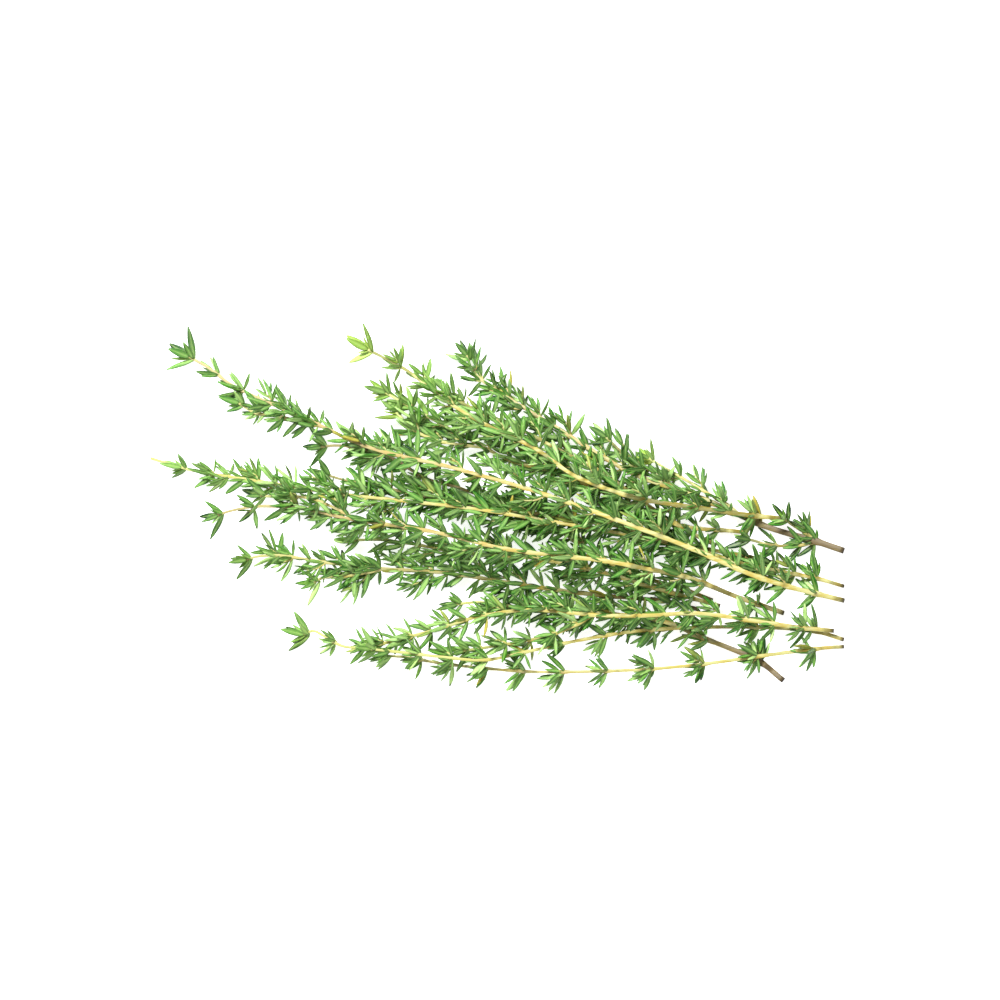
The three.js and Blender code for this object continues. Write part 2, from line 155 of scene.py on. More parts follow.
# %% The fifteen sprigs
SPRIGS = [
    dict(butt=0.8, tufted=0.6, tip_size=1.3, spacing=9, shooting=0.9, wood=0.1, blush=0.6,
         fresh=0.0,
         route=[(97, -26, 0.5), (81, -22, 4), (69, -18, 7.5), (53, -11, 11), (32, -3, 14),
                (9, 5, 14), (-14, 11.5, 12), (-35, 16.5, 10), (-53, 24.5, 7.5), (-73, 33.5, 5),
                (-81, 39, 4.2), (-87, 42.5, 4)],
         twigs=[(0.78, [(-63, 26, 6), (-68, 26.5, 5), (-73, 29.5, 4.3)])]),
    dict(butt=0.62, tufted=0.6, bare_end=9, spacing=8, wood=0.05, blush=0.1, fresh=0.15,
         route=[(97, -22, 0.4), (88, -19.5, 2), (70, -16, 4), (56, -12, 6), (39, -8, 8.5),
                (13, -3.5, 10.5), (-5, -0.5, 10.5), (-22, 1.5, 9), (-45, 4, 6.5), (-61, 6.5, 5),
                (-77, 9, 3.5), (-86, 10.5, 1.8), (-98, 14, 0.24)],
         twigs=[]),
    dict(butt=0.8, spacing=9, shooting=0.9, wood=0.5, blush=0.55, fresh=0.0,
         route=[(80, -29.5, 0.5), (67, -25, 4), (53, -19.5, 8), (39, -16.5, 12),
                (28, -14.5, 14), (14, -13, 14.5), (0, -11, 14), (-19, -6.5, 12), (-42, -3, 8.5),
                (-53, -0.5, 6.5), (-66, 0.5, 4.5), (-74, -0.5, 3.5), (-79, -2, 3)],
         twigs=[(0.75, [(-52, 2.5, 7), (-61, 3, 5.5), (-67, 3.5, 4.5)])]),
    dict(butt=0.68, spacing=6, wood=0.8, blush=0.3, fresh=0.1,
         route=[(56, -28.5, 0.42), (45, -26, 2), (28, -24.5, 3), (9, -22, 3), (-3, -20, 3),
                (-17, -18, 3.5), (-33, -17, 3.5), (-47, -15.5, 3), (-60, -13.5, 3),
                (-67, -13.5, 3), (-71, -14.5, 2.8)],
         twigs=[(0.69, [(-42, -19, 3.2), (-49, -19.5, 3), (-52, -21, 2.8)])]),
    dict(butt=0.7, tufted=0.5, tip_size=1.2, spacing=9, shooting=0.5, wood=0.15, blush=0.0,
         fresh=0.1,
         route=[(94, -34.5, 2.4), (84, -33.5, 3.6), (74, -32, 5.5), (56, -29.5, 8),
                (42, -30, 9), (28, -30, 9), (9, -28.5, 8), (-6, -30.5, 6.5), (-19, -34.5, 5),
                (-35, -38.5, 3.5), (-43, -39, 3), (-49, -36, 3), (-52, -34.5, 2.8),
                (-55, -35.5, 2.6)],
         twigs=[(0.45, [(21, -33, 8), (13, -36, 6.5), (0, -38.5, 5.5), (-10, -40, 5)])]),
    dict(butt=0.68, tufted=0.5, shooting=0.4, wood=0.1, blush=0.0, fresh=0.15,
         route=[(97, -37, 0.42), (88, -34.5, 0.6), (74, -33.5, 1.8), (56, -33.5, 3.2),
                (39, -34.5, 3.8), (23, -37, 4.5), (9, -40, 5.5), (-4, -42.5, 7.5),
                (-17, -41.5, 8), (-26, -40.5, 7), (-36, -39.5, 6.5)],
         twigs=[]),
    dict(butt=0.6, tufted=0.9, shooting=0.4, wood=0.15, blush=0.3, fresh=0.1,
         route=[(97, -39, 0.38), (90, -39.5, 1), (74, -41.5, 2.8), (56, -44, 2.5),
                (38, -45.5, 2.5), (21, -46, 2.5), (9, -46, 2.8), (-4, -45, 3), (-17, -43.5, 3),
                (-25, -42, 3), (-32, -41.5, 3)],
         twigs=[]),
    dict(butt=0.9, spacing=6, wood=1.0, blush=0.0, fresh=0.0,
         route=[(80, -48.5, 0.58), (72, -42.5, 0.65), (56, -36, 1.1), (53, -34.5, 1.2),
                (45, -31.5, 2), (34, -30, 3), (17, -29, 3.5), (6, -28, 3.5), (-5, -26.5, 3.5),
                (-12, -27, 3)],
         twigs=[]),
    dict(butt=0.78, tufted=0.4, tip_size=1.1, spacing=9, wood=0.15, blush=0.1, fresh=0.6,
         slot="young_leaf",
         route=[(80, -3, 2.6), (70, -2, 4), (56, 0, 7), (42, 2, 10), (34, 4, 12), (21, 9, 13),
                (11, 16, 12), (0, 21.5, 10.5), (-7, 25, 9), (-17, 31.5, 7), (-25, 38, 5),
                (-32, 42, 4), (-37, 44.5, 4)],
         twigs=[(0.1, [(64, 1, 5), (57, 5, 4.5), (53, 7.5, 4), (47, 11, 3.5), (42, 14, 3)])]),
    dict(butt=1.02, tufted=0.5, tip_size=1.1, spacing=8, shooting=0.75, wood=1.0, blush=0.5,
         fresh=0.0,
         route=[(97, -12, 0.65), (88, -9, 0.68), (79, -6.5, 0.8), (72, -4, 1.2), (62, 0.5, 2),
                (51, 5, 3), (39, 9, 3.5), (28, 15, 3.8), (17, 22, 3.8), (0, 32.5, 3.5),
                (-7, 38, 3.2), (-9, 43, 3)],
         twigs=[(0.05, [(86, -7, 1.6), (82, -4.5, 2.2), (80, -3, 5)]),
                (0.06, [(84, -10.5, 1.4), (77, -10.5, 1.8), (69, -8.5, 2.8)]),
                (0.4, [(37, 14, 3.5), (33, 17, 3.3), (30, 20, 3.2)])]),
    dict(butt=0.65, tip_size=1.1, spacing=6, shooting=0.7, wood=0.1, blush=0.1, fresh=0.3,
         route=[(70, -7, 0.42), (66, -6.5, 0.8), (51, -5, 2), (39, 0, 3), (28, 5, 3.5),
                (16, 10, 3.5), (4, 13, 3.5), (-5, 17.5, 3.5), (-17, 24, 3.8), (-26, 29, 3.8),
                (-32, 32.5, 3.6)],
         twigs=[(0.71, [(-13, 18, 4), (-19, 19.5, 4.2), (-24, 22, 4.2), (-29, 27, 4)])]),
    dict(butt=0.66, spacing=6, wood=0.2, blush=0.1, fresh=0.15,
         route=[(61, -10.5, 3.2), (53, -6.5, 4.4), (42, 0.5, 6), (28, 10.5, 7.5), (20, 14.5, 8),
                (6, 22, 7.5), (-5, 27, 7), (-10.5, 29.5, 6), (-14, 32.5, 6)],
         twigs=[]),
    dict(butt=0.7, spacing=6, wood=0.4, blush=0.7, fresh=0.0,
         route=[(60, -26, 0.45), (51, -22.5, 1.5), (39, -19, 2.5), (28, -13.5, 3),
                (17, -6.5, 3.3), (0, 1.5, 3), (-11, 5.5, 3.3), (-21, 8.5, 4), (-29, 13.5, 4),
                (-38, 16.5, 3.8), (-45, 17.5, 3.5), (-50, 17.2, 3.2)],
         twigs=[]),
    dict(butt=0.65, spacing=6, wood=0.3, blush=0.6, fresh=0.0,
         route=[(78, -15.5, 1.2), (69, -13.5, 1.5), (53, -10.5, 2), (42, -7.5, 3),
                (28, -4, 5.5), (13, -2, 6.8), (2, -0.5, 6.8), (-8, 1, 6.5), (-19, 3, 6),
                (-29, 5, 5), (-42, 7.5, 4), (-49, 9.5, 3.5)],
         twigs=[]),
    dict(butt=0.66, spacing=6, wood=0.1, blush=0.0, fresh=0.25,
         route=[(62, -27.5, 2.6), (53, -25, 3.8), (42, -22, 5.5), (31, -18.5, 7),
                (20, -16, 7.5), (9, -14, 7), (0, -13.5, 6), (-11, -12.5, 5), (-22, -10.5, 4),
                (-32, -9, 3.5), (-41, -9, 3.3)],
         twigs=[]),
]
print(len(SPRIGS), "sprigs with", sum(len(s["twigs"]) for s in SPRIGS), "twigs")

# %% [markdown]
# ## From places to a line
# A Catmull-Rom curve runs smoothly through all of its points. It could be a Blender curve object,
# but the leaves have to be rooted in it, so it is worked out here. The solids use the same curve
# in straight facets of about 9 mm, and the leaves are rooted on those, so both models agree.

# %% Lines
TIP_RADIUS = 0.4
TWIG_RADIUS = 0.45
FACET = 9
FEWEST_FACETS = 3
CURVE_STEPS = 200
UP = Vector((0, 0, 1))


def on_curve(points, t):
    """The place at t, from 0 to 1, on the smooth curve through the points."""
    ends = [2 * points[0] - points[1], *points, 2 * points[-1] - points[-2]]
    run = t * (len(points) - 1)
    i = min(int(run), len(points) - 2)
    w = run - i
    p0, p1, p2, p3 = ends[i : i + 4]
    m1, m2 = 0.5 * (p2 - p0), 0.5 * (p3 - p1)
    return (2 * p1 - 2 * p2 + m1 + m2) * w**3 + (3 * p2 - 3 * p1 - 2 * m1 - m2) * w**2 + m1 * w + p1


def evenly_on_curve(points, pieces):
    """Places on the curve with equal lengths of curve between them."""
    times = np.linspace(0, 1, CURVE_STEPS + 1)
    dense = np.array([on_curve(points, t) for t in times])
    run = np.concatenate([[0], np.cumsum(np.linalg.norm(np.diff(dense, axis=0), axis=1))])
    if pieces is None:
        pieces = max(FEWEST_FACETS, int(run[-1] / FACET + 0.5))
    wanted = np.interp(np.linspace(0, run[-1], pieces + 1), run, times)
    return [on_curve(points, t) for t in wanted]


class Axis:
    """The middle line of a stem or twig, as the facets of the solid."""

    def __init__(self, route, butt, tip):
        self.route = [np.array(p, float) for p in route]
        self.butt, self.tip = butt, tip
        self.corners = evenly_on_curve(self.route, None)
        steps = np.diff(np.array(self.corners), axis=0)
        self.lengths = np.linalg.norm(steps, axis=1)
        self.ways = steps / self.lengths[:, None]
        self.run = np.concatenate([[0], np.cumsum(self.lengths)])
        self.length = self.run[-1]

    def radius_at(self, share):
        return self.butt + (self.tip - self.butt) * share

    def point(self, share):
        d = share * self.length
        i = min(int(np.searchsorted(self.run[1:], d)), len(self.lengths) - 1)
        return self.corners[i] + self.ways[i] * (d - self.run[i]), self.ways[i]


def axes_of(sprig):
    stem = Axis(sprig["route"], sprig["butt"], TIP_RADIUS)
    twigs = [Axis([stem.point(fork)[0], *route], TWIG_RADIUS, TIP_RADIUS)
             for fork, route in sprig["twigs"]]
    return [stem, *twigs]


AXES = [axes_of(sprig) for sprig in SPRIGS]
print("longest stem", round(max(a.length for axes in AXES for a in axes)), "mm")

# %% [markdown]
# ## How thyme grows
# Thyme carries its leaves in pairs, each pair turned a quarter round the stem from the last, with
# long gaps low down and short ones near the tip. Leaves could be scattered with particles, but
# the export drops those and they wouldn't pair up. So a rule walks up each stem and plants them,
# with small seeded differences. It draws the same numbers as the solids, so that every large
# leaf stands where its solid blade does.

# %% The growing rule
LEAF_LENGTH = 7.8
STEM_HABIT = dict(first=8, gap_low=17, gap_high=7.5, tufted=0, tip_size=1, bare_end=0)
TWIG_HABIT = {**STEM_HABIT, "first": 5, "gap_low": 7, "gap_high": 7}
TIP_ROOM = 4
TUFT = (1.4, 0.8)  # step and size of the smaller pair above a large one
TIP_PAIRS = [(1.8, 10, 44, 1), (0.5, 100, 22, 0.9)]  # back from the end, turn, lean, size
TIP_SIZES = (0.85, 1.1)
SIDE_LEANS = (62, 42)  # from the stem, low down and near the tip
SIDE_SIZES = (0.8, 1.12)
SIZE_AT_TIP = 0.85
TURN_SPREAD, LEAN_SPREAD, ROLL_SPREAD = 40, 20, 70  # the ranges of drawn angles, in degrees
TIP_TURN_SPREAD = 30


def seeded_draws(seed):
    state = seed * 7883
    while True:
        state = state * 48271 % 2147483647
        yield state / 2147483647


def between(low, high, share):
    return low + (high - low) * share


def growing_frame(axis, share):
    """Where a leaf is rooted: the place, the stem's way, its level side and what is over it."""
    at, way = axis.point(share)
    along = Vector(way)
    side = along.cross(UP).normalized()
    return dict(at=Vector(at), along=along, side=side, over=side.cross(along))


def pair_places(length, habit):
    s, last = habit["first"], length - habit["bare_end"] - TIP_ROOM
    while s < last:
        yield s, 1
        if s < habit["tufted"] * length:
            yield s + TUFT[0], TUFT[1]
        s += between(habit["gap_low"], habit["gap_high"], s / length)


def side_leaves(axis, draw, habit):
    for index, (place, size) in enumerate(pair_places(axis.length, habit)):
        share = place / axis.length
        frame_there = growing_frame(axis, share)
        turn = 45 + 90 * index + TURN_SPREAD * (next(draw) - 0.5)
        for half in (0, 180):
            lean = between(*SIDE_LEANS, share) + LEAN_SPREAD * (next(draw) - 0.5)
            drawn = between(*SIDE_SIZES, next(draw))
            length = LEAF_LENGTH * size * drawn * between(1, SIZE_AT_TIP, share)
            roll = ROLL_SPREAD * (next(draw) - 0.5)
            yield dict(frame=frame_there, turn=turn + half, lean=lean, length=length, roll=roll,
                       share=share, kind="side", small=size < 1)


def tip_leaves(axis, draw, habit):
    for back, turn, lean, size in TIP_PAIRS:
        frame_there = growing_frame(axis, 1 - (back + habit["bare_end"]) / axis.length)
        for half in (0, 180):
            length = LEAF_LENGTH * habit["tip_size"] * size * between(*TIP_SIZES, next(draw))
            drawn = TIP_TURN_SPREAD * (next(draw) - 0.5)
            yield dict(frame=frame_there, turn=turn + half + drawn, lean=lean,
                       length=length, roll=0, share=1, kind="tip", small=False)


first_habit = {**STEM_HABIT, **SPRIGS[0]}
print("pairs on the first stem:", len(list(pair_places(AXES[0][0].length, first_habit))))

# %% [markdown]
# ## How a leaf stands
# A leaf leans out from its stem and curves in again at its tip. The pile presses the leaves flatter
# than they grow, and none can go through the table top. Bones could bend them, but three
# directions are enough for so small a leaf: where it points, its width and its upper face.

# %% The pose of a leaf
LEAF_ARCH = 0.12
PRESSED = 0.7
TABLE_ROOM = 0.05


def posed(wish, extra_turn=0, extra_lean=0):
    """The leaf's own directions, once it is bent by an extra turn and lean."""
    f, length = wish["frame"], wish["length"]
    turn, lean = radians(wish["turn"] + extra_turn), radians(wish["lean"] + extra_lean)
    out = (f["side"] * cos(turn) + f["over"] * (PRESSED * sin(turn))).normalized()
    way = f["along"] * cos(lean) + out * sin(lean)
    way.z = max(way.z, (TABLE_ROOM - f["at"].z) / length)
    way.normalize()
    across = f["along"].cross(out)
    across.rotate(Matrix.Rotation(radians(wish["roll"]), 3, way))
    across = (across - way * across.dot(way)).normalized()
    return dict(wish, root=f["at"], way=way, across=across, face=across.cross(way))


def on_leaf(leaf, t):
    run, drop = t * leaf["length"], LEAF_ARCH * leaf["length"] * t * t
    return leaf["root"] + leaf["way"] * run - leaf["face"] * drop


first_leaf = posed(next(side_leaves(AXES[0][0], seeded_draws(1), first_habit)))
print("the first leaf points", [round(v, 2) for v in first_leaf["way"]])

# %% [markdown]
# ## Room for every leaf
# Leaves of real sprigs push each other aside. A physics run could do that, but it is slow for
# four thousand leaves. Here a few balls stand for each leaf: a leaf whose balls would touch those
# of another sprig is turned or leaned a little, and left out where there is no room at all.

# %% Planting the large leaves
LEAF_BALLS = [(0.42, 0.95), (0.7, 0.8), (0.95, 0.4)]  # a share of the leaf's length, a radius
BENDS = [(0, 0), (30, 0), (-30, 0), (0, -22), (60, 0), (-60, 0), (30, -22), (-30, -22), (90, -10),
         (-90, -10), (120, 0), (-120, 0)]
SPRIG_ROOM = 0.35
PROBE_STEP = 1.2


class Room:
    """The balls that are taken so far, with their radius and the sprig that they belong to."""

    def __init__(self, most=40000):
        self.at = np.zeros((most, 3))
        self.radius = np.zeros(most)
        self.owner = np.full(most, -1)
        self.count = 0

    def take(self, at, radius, owner):
        self.at[self.count], self.radius[self.count], self.owner[self.count] = at, radius, owner
        self.count += 1

    def is_clear(self, at, radius, owner, room):
        n = self.count
        near = np.linalg.norm(self.at[:n] - at, axis=1) <= self.radius[:n] + radius + room
        return not np.any(near & (self.owner[:n] != owner))


def plant(taken, wish, owner, bends=BENDS, slim=1.0, room=SPRIG_ROOM):
    """The leaf in the first pose that is clear of the other sprigs, or None."""
    for bend in bends:
        leaf = posed(wish, *bend)
        balls = [(np.array(on_leaf(leaf, t)), radius * slim) for t, radius in LEAF_BALLS]
        if all(taken.is_clear(at, radius, owner, room) for at, radius in balls):
            for at, radius in balls:
                taken.take(at, radius, owner)
            return leaf
    return None


taken = Room()
for owner, axes in enumerate(AXES):
    for axis in axes:
        probes = int(np.ceil(axis.length / PROBE_STEP))
        for i in range(probes + 1):
            taken.take(axis.point(i / probes)[0], axis.radius_at(i / probes), owner)

LEAVES = []
for owner, (sprig, axes) in enumerate(zip(SPRIGS, AXES)):
    draw = seeded_draws(owner + 1)
    planted = []
    for axis in axes:
        habit = {**STEM_HABIT, **sprig} if axis is axes[0] else TWIG_HABIT
        wishes = [*side_leaves(axis, draw, habit), *tip_leaves(axis, draw, habit)]
        found = [plant(taken, dict(wish, axis=axis), owner) for wish in wishes]
        planted += [leaf for leaf in found if leaf]
    LEAVES.append(planted)
print("large leaves:", sum(map(len, LEAVES)))

# %% [markdown]
# ## Shoots in the corners
# In the corner between each large leaf and the stem thyme grows a short shoot with a few pairs
# of small leaves. Some stay so short that they are only a tuft, others stand out by several
# millimetres. They could be planted as more leaves on the stem, but then they would all point
# the same way. So every shoot is a little axis of its own, bent towards the light.

# %% Shoots
SHOOT_LENGTHS = (0.8, 11)
SHOOT_RADII = (0.28, 0.2)
SHOOT_LEANS = (44, 20)  # from the stem, at the shoot's foot and at its end
LOWEST_SHOOT = 0.5
RARE_LENGTH = 1.5  # the higher this is, the rarer are long shoots
OVER_THE_STEM = 0.3  # how long a shoot over or under the stem may grow, against one beside it
SHOOT_ROOM = 0.1
SHOOT_TESTS = (0.5, 0.8, 1)  # the shares of its length at which a shoot has to be clear


def shoot_axis(leaf, length):
    along = leaf["frame"]["along"]
    out = (leaf["way"] - along * leaf["way"].dot(along)).normalized()
    route = [leaf["frame"]["at"]]
    for lean in SHOOT_LEANS:
        way = along * cos(radians(lean)) + out * sin(radians(lean))
        place = route[-1] + way * length / len(SHOOT_LEANS)
        place.z = max(place.z, LOWEST_SHOOT)
        route.append(place)
    return Axis(route, *SHOOT_RADII)


def shoot_from(leaf, owner, draw):
    """A shoot of drawn length, longest half way up and beside the stem, or else a mere tuft."""
    middling = 1 - abs(2 * leaf["share"] - 1) ** 3
    keen = SPRIGS[owner].get("shooting", 1.0)
    out = leaf["across"].cross(leaf["frame"]["along"]).normalized()
    beside = abs(out.dot(leaf["frame"]["side"]))
    wish = draw.random() ** RARE_LENGTH * middling * keen * between(OVER_THE_STEM, 1, beside)
    shoot = shoot_axis(leaf, between(*SHOOT_LENGTHS, wish))
    tests = [np.array(shoot.point(t)[0]) for t in SHOOT_TESTS]
    if not all(taken.is_clear(at, SHOOT_RADII[0], owner, SHOOT_ROOM) for at in tests):
        shoot = shoot_axis(leaf, SHOOT_LENGTHS[0])
    return shoot


print("shortest and longest shoot, in mm:", SHOOT_LENGTHS)

# %% [markdown]
# ## The leaves of a shoot
# A shoot carries its own small pairs, again each a quarter round from the last, wide open at its
# foot and closed at its end. The leaves could all be copies of one tuft, but a repeated tuft shows
# at once. So each leaf gets its own small differences, and each shoot its own vigour.

# %% Leaves on a shoot
SHOOT_GAP = 1.4
SHOOT_SIZES = (0.74, 0.56)  # at the shoot's foot and at its end
SHOOT_VIGOUR = (0.8, 1.15)
SHOOT_LEAF_LEANS = (50, 22)
SHOOT_LEAF_SIZES = (0.75, 1.25)
SHOOT_ROLL_SPREAD = 80


def spread(width, draw):
    """A drawn difference of up to half the width to either side."""
    return width * (draw.random() - 0.5)


def shoot_leaves(shoot, leaf, draw):
    pairs = int(shoot.length / SHOOT_GAP) + 1
    first = 360 * draw.random()
    vigour = between(*SHOOT_VIGOUR, draw.random())
    for index in range(pairs):
        share = (index + 0.5) / pairs
        at = growing_frame(shoot, share)
        for half in (0, 180):
            yield dict(frame=at, turn=first + 90 * index + half + spread(TURN_SPREAD, draw),
                       lean=between(*SHOOT_LEAF_LEANS, share) + spread(LEAN_SPREAD, draw),
                       roll=spread(SHOOT_ROLL_SPREAD, draw),
                       length=(LEAF_LENGTH * between(*SHOOT_SIZES, share) * vigour
                               * between(*SHOOT_LEAF_SIZES, draw.random())),
                       share=leaf["share"], kind="corner", small=True, axis=leaf["axis"])


print("pairs on the longest shoot:", int(SHOOT_LENGTHS[1] / SHOOT_GAP) + 1)

# %% [markdown]
# ## Filling in
# The solids carry only some of the pairs, because a few thousand blades would be too heavy for
# them. Where a gap is wider than the sprig's own spacing, more pairs go in between, but not on
# its bare foot. They could stand at even steps, but real ones don't, so each is moved and turned
# a little. The closed heart of every tip gets its small inner leaves as well.

# %% Pairs in between, and hearts
HEART = [(1.6, 60, 46, 0.62), (0.8, 10, 30, 0.5), (0.2, 100, 14, 0.42)]  # as in TIP_PAIRS
HEART_SIZES = (0.85, 1.1)
HEART_LEAN_SPREAD, HEART_ROLL_SPREAD = 16, 60
BARE_FOOT = (0.03, 0.28)  # the share of a green and of a woody stem that gets no more pairs
BETWEEN_LEANS = (50, 34)
BETWEEN_SIZES = (0.7, 1.0)
PLACE_SPREAD = 0.3  # of the step between two pairs


def leaves_in_between(axis, habit, spacing, draw):
    bare = between(*BARE_FOOT, habit["wood"]) if "wood" in habit else 0
    places = [place for place, size in pair_places(axis.length, habit) if size == 1]
    for low, high in zip(places, places[1:]):
        extra = int((high - low) / spacing)
        for i in range(extra):
            place = between(low, high, (i + 1 + spread(PLACE_SPREAD, draw)) / (extra + 1))
            share, turn = place / axis.length, spread(90, draw)
            if share < bare:
                continue
            for half in (0, 180):
                yield dict(frame=growing_frame(axis, share), turn=turn + half,
                           roll=spread(ROLL_SPREAD, draw),
                           lean=between(*BETWEEN_LEANS, share) + spread(LEAN_SPREAD, draw),
                           length=LEAF_LENGTH * between(*BETWEEN_SIZES, draw.random()),
                           share=share, kind="side", small=False, axis=axis)


def heart_leaves(axis, habit, draw):
    for back, turn, lean, size in HEART:
        at = growing_frame(axis, 1 - (back + habit["bare_end"]) / axis.length)
        for half in (0, 180):
            yield dict(frame=at, turn=turn + half + spread(TIP_TURN_SPREAD, draw),
                       lean=lean + spread(HEART_LEAN_SPREAD, draw),
                       roll=spread(HEART_ROLL_SPREAD, draw),
                       length=(LEAF_LENGTH * habit["tip_size"] * size
                               * between(*HEART_SIZES, draw.random())),
                       share=1, kind="heart", small=True, axis=axis)


print("pairs in the heart of a tip:", len(HEART))

# %% [markdown]
# ## Planting the small leaves
# The small leaves are planted by the same rule as the large ones, but they may come closer to
# their neighbours, as they do in a real bundle: their balls are slimmer and the room that is kept
# clear is less. Full room for each would be tidier and would leave the bundle thin.

# %% Planting the small leaves
SHOOT_BENDS = [(0, 0), (35, 0), (-35, 0), (0, -18), (70, 0), (-70, 0), (110, 0), (-110, 0)]
SMALL_LEAF_ROOM = dict(slim=0.45, room=0.05)
MIDDLE_LEAF_ROOM = dict(slim=0.8, room=0.2)


def plant_all(wishes, owner, slim, room):
    found = [plant(taken, wish, owner, SHOOT_BENDS, slim, room) for wish in wishes]
    LEAVES[owner] += [leaf for leaf in found if leaf]


SHOOTS = [[] for _ in SPRIGS]
corner_draw = Random(20)
for owner, (sprig, axes) in enumerate(zip(SPRIGS, AXES)):
    for axis in axes:
        habit = {**STEM_HABIT, **sprig} if axis is axes[0] else TWIG_HABIT
        if "spacing" in sprig:
            more = leaves_in_between(axis, habit, sprig["spacing"], corner_draw)
            plant_all(more, owner, **MIDDLE_LEAF_ROOM)
        plant_all(heart_leaves(axis, habit, corner_draw), owner, **SMALL_LEAF_ROOM)
    for leaf in [x for x in LEAVES[owner] if x["kind"] == "side" and not x["small"]]:
        shoot = shoot_from(leaf, owner, corner_draw)
        SHOOTS[owner].append(shoot)
        plant_all(shoot_leaves(shoot, leaf, corner_draw), owner, **SMALL_LEAF_ROOM)
print("leaves in all:", sum(map(len, LEAVES)), "in a sprig at most:", max(map(len, LEAVES)))
print("shoots:", sum(map(len, SHOOTS)))

# %% [markdown]
# ## One leaf
# A thyme leaf is a narrow pointed oval, grooved along its middle, with its edges rolled under. It
# starts as a flat grid. Scaling its rows gives the outline, lifting and lowering its columns
# gives the groove and the rolled edges, and solidify gives it a back. Each row also remembers
# how far up the leaf it is, and each column how far out, so that a material can draw the veins.

# %% Leaf forms
HALF_WIDTHS = {
    "narrow": (0.028, 0.068, 0.088, 0.094, 0.088, 0.068, 0.028),
    "oval": (0.032, 0.085, 0.112, 0.118, 0.105, 0.076, 0.030),
    "broad": (0.034, 0.092, 0.124, 0.128, 0.112, 0.078, 0.028),
    "small": (0.032, 0.082, 0.102, 0.084, 0.030),
}
COLUMN_LIFT = {0.0: -0.014, 0.5: 0.018, 1.0: -0.030}  # groove, bulge and rolled edge
LEAF_THICKNESS = 0.03
LEAF_FLOATS = ("across", "up", "back", "tone", "fresh", "dry")


def leaf_form(name, outline, arch, roll, twist):
    bm = bmesh.new()
    layers = {key: bm.verts.layers.float.new(key) for key in LEAF_FLOATS}
    widths = HALF_WIDTHS[outline]
    rows = len(widths) - 1
    bmesh.ops.create_grid(bm, x_segments=4, y_segments=rows, size=0.5)
    bmesh.ops.translate(bm, vec=(0, 0.5, 0), verts=bm.verts)
    for v in bm.verts:
        v[layers["across"]], v[layers["up"]] = 2 * v.co.x, v.co.y
    for row, half in enumerate(widths):
        up = row / rows
        verts = [v for v in bm.verts if abs(v.co.y - up) < 0.01]
        for v in verts:
            lift = COLUMN_LIFT[round(abs(2 * v.co.x), 1)]
            v.co.z = lift * roll * half / max(widths)
        bmesh.ops.scale(bm, vec=(2 * half, 1, 1), verts=verts)
        bmesh.ops.rotate(bm, matrix=Matrix.Rotation(radians(twist * up), 3, "Y"), verts=verts)
        bmesh.ops.translate(bm, vec=(0, 0, arch * up * up), verts=verts)
    bmesh.ops.solidify(bm, geom=bm.faces[:], thickness=LEAF_THICKNESS)
    bmesh.ops.recalc_face_normals(bm, faces=bm.faces)
    bm.normal_update()
    for v in bm.verts:
        v[layers["back"]] = 1.0 if v.normal.z < 0 else 0.0
    mesh = bpy.data.meshes.new(name)
    bm.to_mesh(mesh)
    bm.free()
    return mesh


LEAF_KINDS = {
    # outline, arch, roll of the edges and twist of each form
    "old": [("narrow", 0.12, 1.2, 8), ("narrow", 0.2, 1.5, -14), ("oval", 0.04, 1.0, -5),
            ("narrow", -0.03, 1.3, 10)],
    "full": [("oval", 0.14, 0.9, 6), ("oval", 0.2, 1.1, -10)],
    "small": [("small", 0.14, 0.9, 6), ("small", 0.22, 1.1, -10), ("small", -0.02, 1.0, 12)],
    "tip": [("broad", -0.1, 0.9, 8), ("oval", 0.1, 0.9, -12), ("oval", -0.16, 1.0, -8),
            ("broad", -0.02, 1.1, 16)],
}
FORMS = {kind: [leaf_form(f"leaf_{kind}_{letter}", *form) for letter, form in zip("abcd", forms)]
         for kind, forms in LEAF_KINDS.items()}
for kind, forms in FORMS.items():
    print(kind, "leaf:", [len(form.polygons) for form in forms], "faces")

# %% [markdown]
# ## The leaf material
# Each leaf has its own tone of green, from dark old ones to yellow-green young ones, a paler back,
# a pale stripe along its middle, and painted shade that darkens its edges where they roll under.
# All of that comes from the values that the leaves carry, through attribute nodes, and fine noise
# adds the rest. A painted image would give more veins, but four thousand leaves need no image to
# differ. First come the few helpers that both materials need, each of which adds one or two nodes.

# %% Helpers for materials
def node(tree, kind, **settings):
    made = tree.nodes.new(kind)
    for key, value in settings.items():
        setattr(made, key, value)
    return made


def attribute(tree, name):
    return node(tree, "ShaderNodeAttribute", attribute_name=name).outputs["Fac"]


def ramp(tree, source, stops):
    made = node(tree, "ShaderNodeValToRGB")
    while len(made.color_ramp.elements) < len(stops):
        made.color_ramp.elements.new(0.5)
    for element, (place, color) in zip(made.color_ramp.elements, stops):
        element.position = place
        element.color = (*color, 1)
    tree.links.new(source, made.inputs["Fac"])
    return made.outputs["Color"]


def mixed(tree, share, a, b):
    made = node(tree, "ShaderNodeMix", data_type="RGBA")
    for socket, value in zip(("Factor", "A", "B"), (share, a, b)):
        found = [s for s in made.inputs if s.name == socket and s.enabled][0]
        if isinstance(value, (float, int)):
            found.default_value = value
        elif isinstance(value, tuple):
            found.default_value = (*value, 1)
        else:
            tree.links.new(value, found)
    return [s for s in made.outputs if s.enabled][0]


def maths(tree, operation, a, b=0.0, clamp=False):
    made = node(tree, "ShaderNodeMath", operation=operation, use_clamp=clamp)
    for socket, value in zip(made.inputs, (a, b)):
        if isinstance(value, (float, int)):
            socket.default_value = value
        else:
            tree.links.new(value, socket)
    return made.outputs[0]


